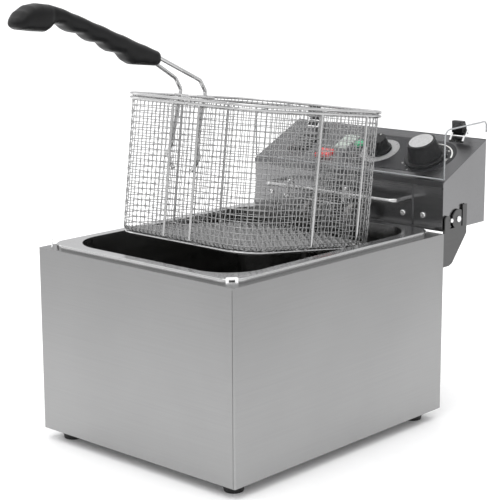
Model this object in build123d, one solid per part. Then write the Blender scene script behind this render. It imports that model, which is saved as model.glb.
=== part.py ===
"""Countertop deep fryer: casing with a lift-out oil tank, a tilting control head and a wire basket.

Millimetres, +Z up. While modelling, y is measured from the casing's front face and z from the
floor; every node is moved back by MIDDLE_Y when it is written, so that the origin is the middle of
the whole object's footprint at floor level.
"""

from build123d import *
import os
from math import atan2, cos, sin, tan

# Casing: a folded stainless box on four rubber feet.
CASING_W, CASING_D, CASING_H = 282.0, 340.0, 200.0
SHEET = 1.0
FOOT_H = 12.0
FOOT_INSET = 22.0
BOTTOM_FLANGE = 34.0
TOP_Z = FOOT_H + CASING_H
HALF_W = CASING_W / 2
MIDDLE_Y = 146.7

# Oil tank: a half-size gastronorm pan, 150 deep, hanging by its flange.
TANK_Y = 169.5
TANK_OPEN_W, TANK_OPEN_D, TANK_CORNER = 240.0, 301.0, 44.0
TANK_FLANGE_W, TANK_FLANGE_D, TANK_FLANGE_CORNER = 265.0, 325.0, 20.0
TANK_DEPTH, TANK_SHEET, TANK_DRAFT = 150.0, 0.8, 3.5
TANK_RIM_Z = TOP_Z + 5.0

# Control head: a wedge-shaped box behind the casing, carried by two brackets.
HEAD_FRONT, HEAD_BACK = 340.5, 422.0
HEAD_BOTTOM, HEAD_FRONT_TOP = TOP_Z + 2.0, 269.0
PANEL_RISE = 39.2
HEAD_HALF_W = 138.5
PANEL_SLOPE = atan2(PANEL_RISE, HEAD_BACK - HEAD_FRONT)
HEAD_BACK_TOP = HEAD_FRONT_TOP + PANEL_RISE
PANEL = Plane(
    origin=(0, HEAD_FRONT, HEAD_FRONT_TOP),
    x_dir=(1, 0, 0),
    z_dir=(0, -sin(PANEL_SLOPE), cos(PANEL_SLOPE)),
)
PIVOT_Y, PIVOT_Z, PIVOT_R = 367.0, 225.0, 2.0
STOP_PIN_Y, STOP_PIN_R = 353.75, 1.5
BRACKET_T = 1.5
BRACKET_INNER = HALF_W - BRACKET_T

# Controls: place on the sloped panel, across it and up it from its front edge.
THERMOSTAT_AT, TIMER_AT = (88.5, 40.0), (21.0, 43.5)
ROCKER_AT, RED_LAMP_AT, GREEN_LAMP_AT = (-92.0, 40.0), (-47.0, 24.0), (-14.0, 51.0)
ROCKER_W, ROCKER_L, ROCKER_TILT = 18.0, 26.0, 8.0
ROCKER_LIFT, TRUNNION_R = 1.0, 1.0
SHAFT_R, RUNNING = 3.0, 0.05
LABEL_T, LABEL_R = 0.4, 32.0

# Transparent cover over the controls, hinged at the panel's back edge.
COVER_HALF_W, COVER_T = 139.0, 2.5
HINGE_Y, HINGE_Z, HINGE_PIN_R, HINGE_BASE_Y = 419.0, 313.6, 1.5, 410.0
HINGE_X, HINGE_BLOCK_W, HINGE_EAR_T = 106.0, 14.0, 2.5

# Heating element, hanging from the head over the tank's back rim.
ELEMENT_R, ELEMENT_Z, ELEMENT_RISER_Y, ELEMENT_EXIT_Z = 4.0, 84.0, 306.0, 232.0
ELEMENT_FRONT_Y, ELEMENT_REAR_Y, ELEMENT_LOOP_Y = 66.0, 276.0, 248.0
ELEMENT_PITCH, RISER_X = 36.0, 30.0
ELEMENT_PLATE_T = 2.0
BULB_X, BULB_R = 8.0, 3.0

# Basket hanger: a bent rod on the head's front.
HANGER_X, HANGER_Y, HANGER_Z, HANGER_R = 93.0, 307.5, 247.0, 2.5

# Basket: held up over the tank, its back lower than its front.
BASKET_Y, BASKET_Z, BASKET_TILT = 171.5, 212.6, -7.05
BASKET_W, BASKET_D, BASKET_TOP, BASKET_CORNER = 197.0, 218.0, 149.5, 34.0
MESH_T, RIM_R, STAY_R, FLOOR_WIRE_R = 0.6, 1.5, 1.4, 0.75
FRONT_STAY_XS = (-15.5, 21.5)
RIM_GAP = 4.2
HOOK_HALF, HOOK_BASE_Z, HOOK_TOP_Z, HOOK_TIP_Z, HOOK_REACH = 41.0, 41.0, 60.0, 48.0, 10.5

# Handle: two rods that clip inside the basket's front wall, and a moulded grip.
HANDLE_ROD_R, HANDLE_ROD_X = 2.0, 17.5
GRIP_HALF_W = 14.0

CONTACT_GAP = 0.02


def block(x0, x1, y0, y1, z0, z1):
    """A box between two corners."""
    return Pos((x0 + x1) / 2, (y0 + y1) / 2, (z0 + z1) / 2) * Box(x1 - x0, y1 - y0, z1 - z0)


def cylinder_along(axis, x, y, z, radius, length):
    """A cylinder that starts at a point and runs along +X, +Y or +Z."""
    turn = {"x": Rot(0, 90, 0), "y": Rot(-90, 0, 0), "z": Rot(0, 0, 0)}[axis]
    return Pos(x, y, z) * turn * Pos(0, 0, length / 2) * Cylinder(radius, length)


def bent_rod(points, radius, bend):
    """A round rod along straight runs joined by arcs."""
    path = FilletPolyline(*points, radius=bend)
    return sweep(Plane(origin=path @ 0, z_dir=path % 0) * Circle(radius), path=path)


def wire_ring(width, depth, corner, z, radius):
    """A closed ring of round wire around a rounded rectangle."""
    path = (Pos(0, 0, z) * RectangleRounded(width, depth, corner)).wire()
    return sweep(Plane(origin=path @ 0, z_dir=path % 0) * Circle(radius), path=path)


def side_profile(points, x0, x1):
    """A plate cut to a y, z outline, between two x planes."""
    outline = Plane.YZ * make_face(Polyline(*points, close=True))
    return Pos(x0, 0, 0) * extrude(outline, x1 - x0)


def both_sides(shape):
    """A shape and its mirror image on the other side."""
    return [shape, mirror(shape, Plane.YZ)]


def pan_screw(axis_turn, place, shank_r, shank, head_r, head):
    """A pan-head screw whose head sits on the plane z = 0 before it is turned and placed."""
    head_solid = Pos(0, 0, head / 2) * Cylinder(head_r, head)
    head_solid = fillet(head_solid.edges().sort_by(Axis.Z)[-1], head * 0.6)
    cross = Pos(0, 0, head) * (Box(head_r, 0.8, head) + Box(0.8, head_r, head))
    shank_solid = Pos(0, 0, -shank / 2) * Cylinder(shank_r, shank)
    return place * axis_turn * (head_solid - cross + shank_solid)


OUTWARD_REAR = Rot(-90, 0, 0)
OUTWARD_FRONT = Rot(90, 0, 0)
OUTWARD_RIGHT = Rot(0, 90, 0)
DOWNWARD = Rot(180, 0, 0)
FOOT_PLACES = [
    (x, y)
    for x in (FOOT_INSET - HALF_W, HALF_W - FOOT_INSET)
    for y in (FOOT_INSET, CASING_D - FOOT_INSET)
]


# ---- casing ----------------------------------------------------------------------------------

REAR_FLANGE_IN = 11.0
SEAM_DEPTH = 0.5
REAR_SCREW_X, REAR_SCREW_ZS = HALF_W - 7.0, (32.0, 92.0, 152.0)
FOOT_SCREW_R, FOOT_RECESS_R, FOOT_RECESS = 2.0, 5.5, 6.0


def casing_shell():
    """Front, sides and top ledge in one, flanged at bottom and back, with the corner seam in front."""
    outer = block(-HALF_W, HALF_W, 0, CASING_D, FOOT_H, TOP_Z)
    outer = fillet(outer.edges().filter_by(Axis.Z).sort_by(Axis.Y)[:2], 1.6)
    inside = HALF_W - SHEET
    shell = outer - block(-inside, inside, SHEET, CASING_D + 1, FOOT_H + SHEET, TOP_Z - SHEET)
    open_half = HALF_W - BOTTOM_FLANGE
    shell -= block(-open_half, open_half, BOTTOM_FLANGE, CASING_D + 1, FOOT_H - 1, FOOT_H + 2)
    cut_out = RectangleRounded(TANK_OPEN_W + 7, TANK_OPEN_D + 7, TANK_CORNER + 3)
    shell -= Pos(0, TANK_Y, TOP_Z - 3) * extrude(cut_out, 6)
    back = CASING_D - SHEET - 0.1
    flange = block(
        inside - REAR_FLANGE_IN, inside, back - SHEET, back, FOOT_H + 2 * SHEET, TOP_Z - SHEET
    )
    for side in both_sides(flange):
        shell += side
    for x, y in FOOT_PLACES:
        shell -= Pos(x, y, FOOT_H) * Cylinder(FOOT_SCREW_R + 0.1, 4 * SHEET)
    for x, z in [(sx * REAR_SCREW_X, z) for sx in (-1, 1) for z in REAR_SCREW_ZS]:
        shell -= cylinder_along("y", x, back - 3, z, 1.6, 6)
    shell -= block(HALF_W - 2.4, HALF_W - 1.8, -1, SEAM_DEPTH, FOOT_H - 1, TOP_Z - 2 * SHEET)
    return shell


def base_plate():
    """The bottom closing plate, resting on the casing's bottom flanges, with vent slots."""
    half = HALF_W - SHEET - 0.3
    z0 = FOOT_H + SHEET
    plate = block(-half, half, SHEET + 0.3, CASING_D - 2 * SHEET - 0.4, z0, z0 + SHEET)
    slot = extrude(SlotOverall(40, 5), 6)
    for row in range(3):
        for column in range(7):
            place = Pos((row - 1) * 62, 80 + column * 30, z0 - 3)
            plate -= place * slot
    for x, y in FOOT_PLACES:
        plate -= Pos(x, y, z0) * Cylinder(FOOT_SCREW_R + 0.1, 4 * SHEET)
    return plate


def rear_panel():
    """The back closing panel with ventilation slots."""
    half = HALF_W - SHEET - 0.1
    y1 = CASING_D - 0.05
    panel = block(-half, half, y1 - SHEET, y1, FOOT_H + 2 * SHEET + 0.1, TOP_Z - SHEET - 0.1)
    slot = Rot(90, 0, 0) * extrude(SlotOverall(70, 4), 6)
    for column in (-1, 1):
        for row in range(6):
            panel -= Pos(column * 52, y1 + 3, 50 + row * 12) * slot
    for x, z in [(sx * REAR_SCREW_X, z) for sx in (-1, 1) for z in REAR_SCREW_ZS]:
        panel -= cylinder_along("y", x, y1 - 3, z, 1.6, 6)
    for x, z in BRACKET_SCREW_PLACES:
        panel -= cylinder_along("y", x, y1 - 3, z, 2.1, 6)
    return panel


def rubber_foot(x, y):
    """A tapered rubber foot with a recess for the screw head."""
    foot = Pos(0, 0, FOOT_H / 2) * Cone(10.0, 11.5, FOOT_H)
    foot -= Pos(0, 0, FOOT_RECESS / 2) * Cylinder(FOOT_RECESS_R, FOOT_RECESS)
    foot -= Pos(0, 0, FOOT_H / 2) * Cylinder(FOOT_SCREW_R + 0.1, FOOT_H + 1)
    foot = fillet(foot.edges().sort_by(Axis.Z)[:2].sort_by(SortBy.LENGTH)[-1], 1.0)
    return Pos(x, y, 0) * foot


def foot_screws():
    """The screws that hold the feet, heads down in the feet's recesses."""
    return Compound(
        [
            pan_screw(DOWNWARD, Pos(x, y, FOOT_RECESS), FOOT_SCREW_R, 14, 4.0, 2.6)
            for x, y in FOOT_PLACES
        ]
    )


def rear_panel_screws():
    """Self-tapping screws along both edges of the rear panel."""
    places = [(sx * REAR_SCREW_X, z) for sx in (-1, 1) for z in REAR_SCREW_ZS]
    y1 = CASING_D - 0.05
    return Compound([pan_screw(OUTWARD_REAR, Pos(x, y1, z), 1.5, 6, 3.2, 2.0) for x, z in places])


BRACKET_FLANGE_IN, BRACKET_FOOT_Z, BRACKET_FLANGE_TOP = 24.0, 174.0, 205.0
BRACKET_SCREW_PLACES = [(sx * 126.5, z) for sx in (-1, 1) for z in (182.0, 197.0)]


def bracket(side):
    """A head bracket: two posts, a lobe round the pivot pin, and a flange on the casing's back."""
    plate = side_profile(
        [
            (CASING_D, BRACKET_FOOT_Z),
            (351.0, BRACKET_FOOT_Z),
            (357.0, BRACKET_FOOT_Z + 2.4),
            (383.5, 207.0),
            (383.5, 240.0),
            (375.5, 240.0),
            (375.5, 216.0),
            (CASING_D, 216.0),
        ],
        BRACKET_INNER,
        HALF_W,
    )
    plate += block(BRACKET_INNER, HALF_W, 342.0, 352.0, 210.0, 226.0)
    plate += cylinder_along("x", BRACKET_INNER, 347.0, 226.0, 5.0, BRACKET_T)
    lobe = cylinder_along("x", BRACKET_INNER, PIVOT_Y, PIVOT_Z, 11.0, BRACKET_T)
    lobe &= block(BRACKET_INNER, HALF_W, 350.0, 373.2, 210.0, 240.0)
    plate += lobe
    plate -= block(BRACKET_INNER - 1, HALF_W + 1, 341.0, 341.99, 212.0, 218.0)
    flange_x, flange_y = HALF_W - BRACKET_FLANGE_IN, CASING_D + BRACKET_T
    flange = block(flange_x, HALF_W, CASING_D, flange_y, BRACKET_FOOT_Z, BRACKET_FLANGE_TOP)
    plate += flange
    for x, z in BRACKET_SCREW_PLACES:
        plate -= cylinder_along("y", abs(x), CASING_D - 3, z, 2.05, 8)
    plate -= cylinder_along("x", BRACKET_INNER - 1, PIVOT_Y, PIVOT_Z, PIVOT_R + RUNNING, 4)
    return plate if side > 0 else mirror(plate, Plane.YZ)


def bracket_screws():
    """The screws through the bracket flanges into the rear panel."""
    y1 = CASING_D + BRACKET_T
    return Compound(
        [pan_screw(OUTWARD_REAR, Pos(x, y1, z), 2.0, 7, 3.6, 2.2) for x, z in BRACKET_SCREW_PLACES]
    )


def drafted_pan(grow, bottom_z, fillet_r):
    """The tank's body as a solid, larger all round by grow, tapering down to its bottom."""
    outline = RectangleRounded(
        TANK_OPEN_W + 2 * grow, TANK_OPEN_D + 2 * grow, TANK_CORNER + grow
    )
    depth = TANK_RIM_Z - bottom_z
    body = extrude(Plane.XY.rotated((180, 0, 0)) * outline, depth, taper=TANK_DRAFT)
    body = fillet(body.faces().sort_by(Axis.Z)[0].edges(), fillet_r)
    return Pos(0, TANK_Y, TANK_RIM_Z) * body


def tank():
    """The oil tank: drafted pan, flat flange and a turned-down edge that stands on the casing."""
    floor_z = TANK_RIM_Z - TANK_DEPTH
    flange = RectangleRounded(TANK_FLANGE_W, TANK_FLANGE_D, TANK_FLANGE_CORNER)
    under = RectangleRounded(
        TANK_FLANGE_W - 2 * TANK_SHEET, TANK_FLANGE_D - 2 * TANK_SHEET, TANK_FLANGE_CORNER - TANK_SHEET
    )
    top = Pos(0, TANK_Y, TOP_Z) * extrude(flange, TANK_RIM_Z - TOP_Z)
    top = fillet(top.faces().sort_by(Axis.Z)[-1].edges(), 1.5)
    top -= Pos(0, TANK_Y, TOP_Z - 1) * extrude(under, TANK_RIM_Z - TOP_Z + 1 - TANK_SHEET)
    body = drafted_pan(TANK_SHEET, floor_z - TANK_SHEET, 16.0 + TANK_SHEET)
    return top + body - drafted_pan(0, floor_z, 16.0)


def tank_locating_lugs():
    """Small upright slotted tabs on the casing's front corners, outside the tank's flange."""
    lug = Pos(0, 0, 4.0) * Box(12.0, 1.2, 8.0)
    lug = fillet(lug.edges().filter_by(Axis.Y).sort_by(Axis.Z)[-2:], 1.5)
    lug -= Pos(0, 0, 4.2) * Box(6.0, 4, 3.0)
    reach = 24.5 / 2**0.5
    x = TANK_FLANGE_W / 2 - TANK_FLANGE_CORNER + reach
    y = TANK_Y - (TANK_FLANGE_D / 2 - TANK_FLANGE_CORNER + reach)
    return Compound([Pos(side * x, y, TOP_Z) * Rot(0, 0, side * 45) * lug for side in (-1, 1)])


# ---- control head ----------------------------------------------------------------------------

PLATE_HALF_W, PLATE_BOTTOM, PLATE_TOP = 98.0, 216.5, 262.0
PLATE_SCREW_PLACES = [(sx * 86.0, 229.5) for sx in (-1, 1)]
HOUSING_SCREW_PLACES = [(sx * 112.0, 229.5) for sx in (-1, 1)]
BACK_SCREW_PLACES = [(sx * 128.0, z) for sx in (-1, 1) for z in (226.0, 292.0)]
GLAND_X, GLAND_Z, GLAND_R = -80.0, 234.0, 8.0
RESET_X, RESET_Z, RESET_R, RESET_TRAVEL = 48.0, 243.0, 5.0, 3.0


def slope_z(y, below=0.0):
    """The height of the sloped panel's top face at y, or of a plane parallel to it and below it."""
    return HEAD_FRONT_TOP + (y - HEAD_FRONT) * tan(PANEL_SLOPE) - below / cos(PANEL_SLOPE)


def on_panel(at, shape, lift=0.0):
    """Place a shape on the sloped panel: its z = 0 plane lies on the panel's top face."""
    return PANEL.location * Pos(at[0], at[1], lift) * shape


def pierce_front(plate, radius_margin):
    """Cut the holes for the element's two ends and the two capillaries out of a front plate."""
    for side in (-1, 1):
        plate -= cylinder_along(
            "y", side * RISER_X, 330, ELEMENT_EXIT_Z, ELEMENT_R + radius_margin, 20
        )
        plate -= cylinder_along("y", side * BULB_X, 330, ELEMENT_EXIT_Z, 1.0 + radius_margin, 20)
    return plate


def head_housing():
    """The head's front wall and two sides, folded from one sheet."""
    back = HEAD_BACK - SHEET
    side = side_profile(
        [
            (HEAD_FRONT, HEAD_BOTTOM + SHEET),
            (back, HEAD_BOTTOM + SHEET),
            (back, slope_z(back, SHEET)),
            (HEAD_FRONT, slope_z(HEAD_FRONT, SHEET)),
        ],
        HEAD_HALF_W - SHEET,
        HEAD_HALF_W,
    )
    front_top = slope_z(HEAD_FRONT, SHEET)
    housing = block(
        -HEAD_HALF_W, HEAD_HALF_W, HEAD_FRONT, HEAD_FRONT + SHEET, HEAD_BOTTOM + SHEET, front_top
    )
    for wall in both_sides(side):
        housing += wall
    housing = pierce_front(housing, 0.1)
    for x, z in PLATE_SCREW_PLACES + HOUSING_SCREW_PLACES:
        housing -= cylinder_along("y", x, HEAD_FRONT - 3, z, 1.6, 8)
    for side_x in (-1, 1):
        x0 = side_x * HEAD_HALF_W - 3
        housing -= cylinder_along("x", x0, PIVOT_Y, PIVOT_Z, PIVOT_R + 0.01, 6)
        housing -= cylinder_along("x", x0, STOP_PIN_Y, PIVOT_Z, STOP_PIN_R + 0.01, 6)
    return housing


def control_panel():
    """The sloped panel with its folded front lip and the cut-outs for the controls."""
    panel = side_profile(
        [
            (HEAD_FRONT, slope_z(HEAD_FRONT)),
            (HEAD_FRONT, slope_z(HEAD_FRONT, SHEET)),
            (HEAD_BACK - SHEET, slope_z(HEAD_BACK - SHEET, SHEET)),
            (HEAD_BACK - SHEET, slope_z(HEAD_BACK - SHEET)),
        ],
        -HEAD_HALF_W,
        HEAD_HALF_W,
    )
    panel += side_profile(
        [
            (HEAD_FRONT, HEAD_FRONT_TOP),
            (HEAD_FRONT - SHEET, HEAD_FRONT_TOP - 0.4),
            (HEAD_FRONT - SHEET, HEAD_FRONT_TOP - 6),
            (HEAD_FRONT, HEAD_FRONT_TOP - 6),
        ],
        -HEAD_HALF_W,
        HEAD_HALF_W,
    )
    for at in (THERMOSTAT_AT, TIMER_AT):
        panel -= on_panel(at, Cylinder(SHAFT_R + 0.4, 8))
    panel -= on_panel(ROCKER_AT, Box(ROCKER_W + 4.1, ROCKER_L + 4.1, 8))
    panel -= on_panel(RED_LAMP_AT, Box(18.1, 12.1, 8))
    panel -= on_panel(GREEN_LAMP_AT, Cylinder(4.55, 8))
    return panel


def head_back_cover():
    """The head's flat back, with louvre slots."""
    cover = block(
        -HEAD_HALF_W, HEAD_HALF_W, HEAD_BACK - SHEET, HEAD_BACK, HEAD_BOTTOM, HEAD_BACK_TOP
    )
    slot = Rot(90, 0, 0) * extrude(SlotOverall(50, 3), 6)
    for row in range(4):
        cover -= Pos(-40, HEAD_BACK + 3, 262 + row * 8) * slot
        cover -= Pos(40, HEAD_BACK + 3, 262 + row * 8) * slot
    for x, z in BACK_SCREW_PLACES:
        cover -= cylinder_along("y", x, HEAD_BACK - 4, z, 1.6, 8)
    cover -= cylinder_along("y", GLAND_X, HEAD_BACK - 4, GLAND_Z, GLAND_R + 0.02, 8)
    cover -= cylinder_along("y", RESET_X, HEAD_BACK - 4, RESET_Z, RESET_R + 0.1, 8)
    return cover


def head_bottom_plate():
    """The flat plate that closes the head underneath."""
    back = HEAD_BACK - SHEET
    return block(-HEAD_HALF_W, HEAD_HALF_W, HEAD_FRONT, back, HEAD_BOTTOM, HEAD_BOTTOM + SHEET)


def back_cover_screws():
    """The four screws in the corners of the head's back."""
    return Compound(
        [pan_screw(OUTWARD_REAR, Pos(x, HEAD_BACK, z), 1.5, 7, 3.2, 2.0) for x, z in BACK_SCREW_PLACES]
    )


def element_plate():
    """The plate on the head's front that carries the element, the bulbs and the hanger."""
    plate = block(
        -PLATE_HALF_W, PLATE_HALF_W, HEAD_FRONT - ELEMENT_PLATE_T, HEAD_FRONT, PLATE_BOTTOM, PLATE_TOP
    )
    plate = pierce_front(plate, 0.05)
    for x, z in PLATE_SCREW_PLACES:
        plate -= cylinder_along("y", x, HEAD_FRONT - 4, z, 1.6, 8)
    return plate


def element_plate_screws():
    """Pan-head screws on the head's front: two in the plate and one beside it on each side."""
    plate_y = HEAD_FRONT - ELEMENT_PLATE_T
    screws = [pan_screw(OUTWARD_FRONT, Pos(x, plate_y, z), 1.5, 9, 3.4, 2.0) for x, z in PLATE_SCREW_PLACES]
    screws += [
        pan_screw(OUTWARD_FRONT, Pos(x, HEAD_FRONT, z), 1.5, 7, 3.4, 2.0)
        for x, z in HOUSING_SCREW_PLACES
    ]
    return Compound(screws)


def heating_element():
    """One sheathed tube: down from the head, three hairpins along the tank's floor, and back up."""
    right = [
        (RISER_X, HEAD_FRONT + 10, ELEMENT_EXIT_Z),
        (RISER_X, ELEMENT_RISER_Y, ELEMENT_EXIT_Z),
        (RISER_X, ELEMENT_RISER_Y, ELEMENT_Z),
        (RISER_X, ELEMENT_REAR_Y, ELEMENT_Z),
        (2.5 * ELEMENT_PITCH, ELEMENT_REAR_Y, ELEMENT_Z),
        (2.5 * ELEMENT_PITCH, ELEMENT_FRONT_Y, ELEMENT_Z),
        (1.5 * ELEMENT_PITCH, ELEMENT_FRONT_Y, ELEMENT_Z),
        (1.5 * ELEMENT_PITCH, ELEMENT_LOOP_Y, ELEMENT_Z),
        (0.5 * ELEMENT_PITCH, ELEMENT_LOOP_Y, ELEMENT_Z),
        (0.5 * ELEMENT_PITCH, ELEMENT_FRONT_Y, ELEMENT_Z),
    ]
    left = [(-x, y, z) for x, y, z in reversed(right)]
    return bent_rod(right + left, ELEMENT_R, 13.0)


def element_nuts():
    """The hexagon nuts behind the front wall that clamp the element's ends."""
    nut = extrude(RegularPolygon(8.5, 6), 5) - Cylinder(ELEMENT_R + 0.05, 20)
    nut = Rot(-90, 0, 0) * nut
    y0 = HEAD_FRONT + SHEET
    return Compound([Pos(side * RISER_X, y0, ELEMENT_EXIT_Z) * nut for side in (-1, 1)])


def bulb(side):
    """A thermostat bulb standing in the oil, with its capillary into the head."""
    x = side * BULB_X
    body = cylinder_along("z", x, ELEMENT_RISER_Y, 100, BULB_R, 90)
    body = fillet(body.edges().filter_by(GeomType.CIRCLE), 1.5)
    points = [
        (x, ELEMENT_RISER_Y, 189),
        (x, ELEMENT_RISER_Y, ELEMENT_EXIT_Z),
        (x, HEAD_FRONT + 9, ELEMENT_EXIT_Z),
    ]
    return body + bent_rod(points, 1.0, 8.0)


def bulb_bracket():
    """A small plate across the element's risers that holds both bulbs."""
    plate = block(-RISER_X - 7, RISER_X + 7, ELEMENT_RISER_Y - 6.5, ELEMENT_RISER_Y + 2.5, 140, 142)
    for side in (-1, 1):
        plate -= Pos(side * RISER_X, ELEMENT_RISER_Y, 141) * Cylinder(ELEMENT_R + 0.03, 6)
        plate -= Pos(side * BULB_X, ELEMENT_RISER_Y, 141) * Cylinder(BULB_R + 0.03, 6)
    return plate


def basket_hanger():
    """The bent rod on the head's front that the basket's hooks drop over."""
    plate_y = HEAD_FRONT - ELEMENT_PLATE_T
    points = [
        (-HANGER_X, plate_y, HANGER_Z),
        (-HANGER_X, HANGER_Y, HANGER_Z),
        (HANGER_X, HANGER_Y, HANGER_Z),
        (HANGER_X, plate_y, HANGER_Z),
    ]
    return bent_rod(points, HANGER_R, 8.0)


def side_pins(y, radius, head_r, head, reach):
    """A headed pin on each side of the head, outside the bracket and through the side wall."""
    gap = 0.15
    pin = cylinder_along("x", HEAD_HALF_W - reach, y, PIVOT_Z, radius, HALF_W + gap - HEAD_HALF_W + reach)
    head_solid = Pos(HALF_W + gap, y, PIVOT_Z) * OUTWARD_RIGHT * Pos(0, 0, head / 2) * Cylinder(head_r, head)
    head_solid = fillet(head_solid.faces().sort_by(Axis.X)[-1].edges(), head * 0.5)
    return Compound(both_sides(pin + head_solid))


def panel_label():
    """The dark stadium-shaped plate round the two dials."""
    left, right = LABEL_R - 27.0, 90.0
    middle = (left + right) / 2
    label = Pos(middle, 44, 0) * extrude(SlotCenterToCenter(right - left, 2 * LABEL_R), LABEL_T)
    for at in (THERMOSTAT_AT, TIMER_AT):
        label -= Pos(at[0], at[1], 0) * Cylinder(SHAFT_R + 0.6, 4)
    label -= Pos(GREEN_LAMP_AT[0], GREEN_LAMP_AT[1], 0) * Cylinder(6.6, 4)
    return PANEL.location * label


def thermostat_body():
    """The thermostat switch behind the panel, with the bush its shaft turns in."""
    body = Pos(0, 0, -16) * Box(38, 44, 30)
    body = fillet(body.edges().filter_by(Axis.Z), 3)
    body -= Pos(0, 0, -7) * Cylinder(SHAFT_R + RUNNING, 14)
    return on_panel(THERMOSTAT_AT, body)


def timer_body():
    """The clockwork timer behind the panel."""
    body = Pos(0, 0, -13.5) * Cylinder(20, 25)
    body -= Pos(0, 0, -7) * Cylinder(SHAFT_R + RUNNING, 14)
    return on_panel(TIMER_AT, body)


def control_shaft(at, top):
    """A knob's shaft, from inside its switch to the inside of its knob."""
    bottom = -13.5
    return on_panel(at, Pos(0, 0, (top + bottom) / 2) * Cylinder(SHAFT_R, top - bottom))


def control_knob(at, skirt_r, body_r, top_r, height, shaft_top, ribs):
    """A moulded knob: skirt, tapered body with grip flutes, and a blind bore for the shaft."""
    skirt = Pos(0, 0, 2.9) * Cylinder(skirt_r, 3.4)
    skirt = fillet(skirt.faces().sort_by(Axis.Z)[-1].edges(), 1.2)
    body_h = height - 4.6
    body = Pos(0, 0, 4.6 + body_h / 2) * Cone(body_r, top_r, body_h)
    knob = skirt + body
    for rib in range(ribs):
        turn = Rot(0, 0, (rib + 0.5) * 360 / ribs)
        flute = turn * Pos(body_r + 1.6, 0, 6.0 + height / 2) * Cylinder(2.4, height)
        knob -= flute
    depth = shaft_top - 1.2
    knob -= Pos(0, 0, 1.2 + depth / 2) * Cylinder(SHAFT_R, depth)
    return on_panel(at, knob)


THERMOSTAT_H, THERMOSTAT_TOP_R = 23.0, 16.0
TIMER_H, TIMER_TOP_R = 17.0, 11.0


def thermostat_knob_cap():
    """The bright disc let into the top of the thermostat knob."""
    return on_panel(THERMOSTAT_AT, Pos(0, 0, THERMOSTAT_H + 0.4) * Cylinder(THERMOSTAT_TOP_R - 2, 0.8))


def rocker_housing():
    """The main switch's frame above the panel and its box below."""
    frame = Pos(0, 0, 1.25) * Box(ROCKER_W + 8, ROCKER_L + 8, 2.5)
    frame = fillet(frame.edges().filter_by(Axis.Z), 2)
    box = Pos(0, 0, -9) * Box(ROCKER_W + 4, ROCKER_L + 4, 18)
    hollow = Pos(0, 0, -1) * Box(ROCKER_W + 0.6, ROCKER_L + 1.6, 14)
    length = ROCKER_W + 3.4
    bore = cylinder_along("x", -length / 2, 0, ROCKER_LIFT, TRUNNION_R + RUNNING, length)
    return on_panel(ROCKER_AT, frame + box - hollow - bore)


def rocker_button():
    """The switch's rocker on its two trunnions, resting tipped towards its off side."""
    profile = make_face(
        Polyline(
            (-ROCKER_L / 2 + 0.6, 3.2), (0, 1.6), (ROCKER_L / 2 - 0.6, 3.2), (6, -4), (-6, -4), close=True
        )
    )
    rocker = Pos(-ROCKER_W / 2, 0, 0) * extrude(Plane.YZ * profile, ROCKER_W)
    length = ROCKER_W + 3.0
    rocker += cylinder_along("x", -length / 2, 0, 0, TRUNNION_R, length)
    return on_panel(ROCKER_AT, Rot(-ROCKER_TILT, 0, 0) * rocker, ROCKER_LIFT)


def lamp_red():
    """A rectangular indicator lamp, lens up."""
    lens = Pos(0, 0, 2.4) * Box(20, 14, 4.8)
    lens = fillet(lens.edges().sort_by(Axis.Z)[-4:], 1.5)
    return on_panel(RED_LAMP_AT, lens + Pos(0, 0, -8) * Box(18, 12, 16))


def lamp_green():
    """A round indicator lamp, lens up."""
    lens = Pos(0, 0, 2.2) * Cylinder(6.0, 4.4)
    lens = fillet(lens.faces().sort_by(Axis.Z)[-1].edges(), 2.0)
    return on_panel(GREEN_LAMP_AT, lens + Pos(0, 0, -9) * Cylinder(4.5, 18))


def limiter_body():
    """The overheat cut-out behind the head's back, with a pocket for its reset button."""
    back = HEAD_BACK - SHEET
    body = block(RESET_X - 17, RESET_X + 17, back - 32, back, RESET_Z - 17, RESET_Z + 17)
    body -= cylinder_along("y", RESET_X, back - 12, RESET_Z, RESET_R + 0.3, 20)
    return body


def reset_button():
    """The red push button that resets the cut-out; it slides into the head."""
    button = cylinder_along("y", RESET_X, HEAD_BACK - 8, RESET_Z, RESET_R, 11.5)
    return fillet(button.faces().sort_by(Axis.Y)[-1].edges(), 1.0)


def terminal_block():
    """A row of screw terminals on the head's bottom."""
    z0 = HEAD_BOTTOM + SHEET
    rail = block(-58, -8, 386, 402, z0, z0 + 14)
    for way in range(5):
        x = -53 + way * 10
        rail -= Pos(x, 394, z0 + 12) * Cylinder(3.0, 8)
        rail -= cylinder_along("y", x, 380, z0 + 5, 2.0, 12)
    return rail


def wiring():
    """Insulated wires from the terminal block to the switch, the thermostat and the element."""
    z0 = HEAD_BOTTOM + SHEET
    runs = [
        [(-53, 403, z0 + 8), (-53, 411, z0 + 8), (-53, 411, 262), (-80, 398, 276)],
        [(-43, 403, z0 + 8), (-43, 409, z0 + 8), (-43, 409, 262.5), (62, 404, 265)],
        [(-33, 385, z0 + 9), (-33, 374, z0 + 9), (-33, 374, 232), (-33, 356, 232)],
    ]
    return Compound([bent_rod(run, 1.5, 3.5) for run in runs])


def cable_gland():
    """The cord inlet on the head's back: dome nut, flange and inner lock nut, with a bore."""
    body = cylinder_along("y", GLAND_X, HEAD_BACK - 9, GLAND_Z, GLAND_R, 19)
    nut = Rot(-90, 0, 0) * extrude(RegularPolygon(11.5, 6), 6)
    body += Pos(GLAND_X, HEAD_BACK, GLAND_Z) * nut
    lock_nut = Rot(-90, 0, 0) * extrude(RegularPolygon(10.5, 6), 4)
    body += Pos(GLAND_X, HEAD_BACK - SHEET - 4, GLAND_Z) * lock_nut
    body = fillet(body.faces().sort_by(Axis.Y)[-1].edges(), 1.6)
    return body - cylinder_along("y", GLAND_X, HEAD_BACK - 20, GLAND_Z, 4.0, 40)


# ---- transparent cover -----------------------------------------------------------------------

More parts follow.
